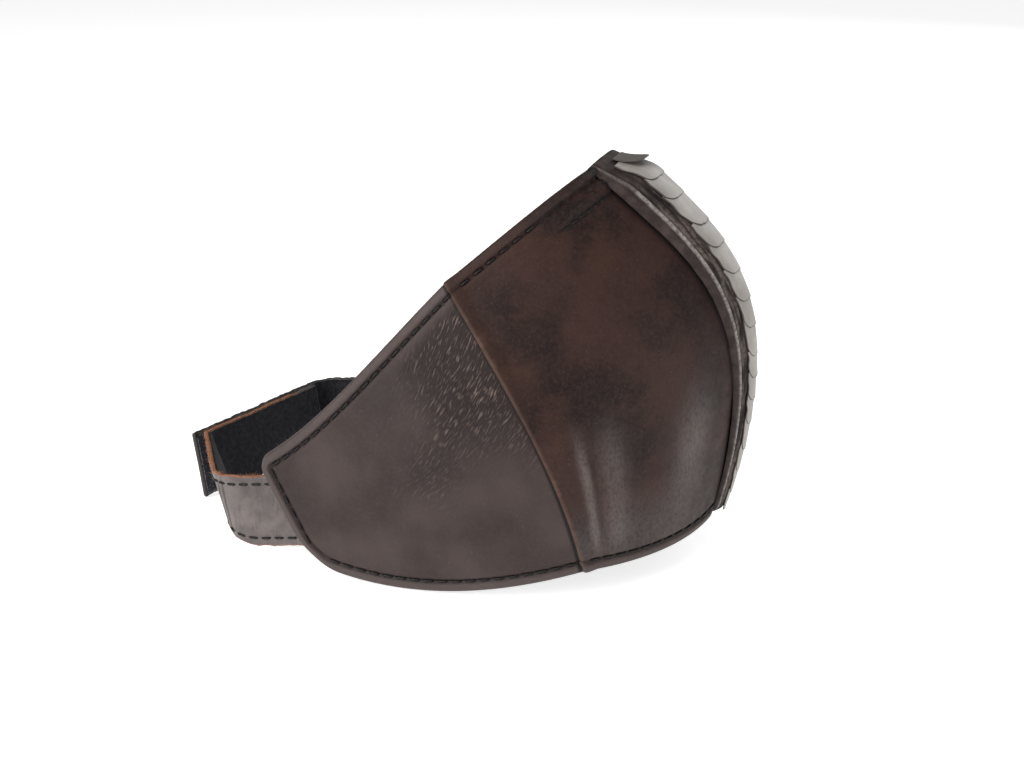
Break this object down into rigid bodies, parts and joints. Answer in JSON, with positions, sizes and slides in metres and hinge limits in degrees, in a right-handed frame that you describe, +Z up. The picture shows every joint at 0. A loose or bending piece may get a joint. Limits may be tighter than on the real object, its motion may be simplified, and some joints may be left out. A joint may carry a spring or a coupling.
{
  "type": "half-face mask",
  "caption": "Dark brown leather half-face mask for nose, mouth and chin, with a tapering scaled centre strip, felt lining and two straps that overlap behind the head.",
  "frame": {"origin": "on the table, under the middle of the mask's bounding box", "axes": "+Z up, -Y the way the wearer faces, +X towards the wearer's left"},
  "size_m": [0.1156, 0.1816, 0.1213],
  "materials": {
    "front_leather": "pull-up leather, worn and mottled",
    "rear_leather": "smooth matt leather with creases",
    "strap_leather": "leather with raw orange-brown edges",
    "snake_skin": "grey-taupe belly scales, brown rolled edges",
    "felt": "brushed felt",
    "strap_lining": "woven, matt",
    "closure_tape": "hook and loop pile",
    "thread": "waxed thread",
    "padding": "felt cord",
    "wire": "plain"
  },
  "bodies": {
    "mask": {"right_front_panel": "front_leather", "right_rear_panel": "rear_leather", "right_front_lining": "felt", "right_rear_lining": "felt", "right_front_hem_stitches": "thread", "right_rear_hem_stitches": "thread", "right_wire_pocket_stitches": "thread", "right_strap_root": "strap_leather", "left_front_panel": "front_leather", "left_rear_panel": "rear_leather", "left_front_lining": "felt", "left_rear_lining": "felt", "left_front_hem_stitches": "thread", "left_rear_hem_stitches": "thread", "left_wire_pocket_stitches": "thread", "left_strap_root": "strap_leather", "centre_strip_skin": "snake_skin", "strip_core": "padding", "nose_wire": "wire"},
    "right_strap": {"right_strap_leather": "strap_leather", "right_strap_lining": "strap_lining", "right_strap_loop_tape": "closure_tape", "right_strap_stitches": "thread"},
    "left_strap": {"left_strap_leather": "strap_leather", "left_strap_lining": "strap_lining", "left_strap_hook_tape": "closure_tape", "left_strap_stitches": "thread"}
  },
  "joints": [
    {"name": "right_strap_bend", "type": "hinge", "parent": "mask", "child": "right_strap", "pos_m": [-0.0491, 0.05152, 0.01673], "axis": [0, -0.1392, -0.9903], "range_deg": [0, 35]},
    {"name": "left_strap_bend", "type": "hinge", "parent": "mask", "child": "left_strap", "pos_m": [0.0491, 0.05152, 0.01673], "axis": [0, -0.1392, -0.9903], "range_deg": [0, 100]}
  ]
}
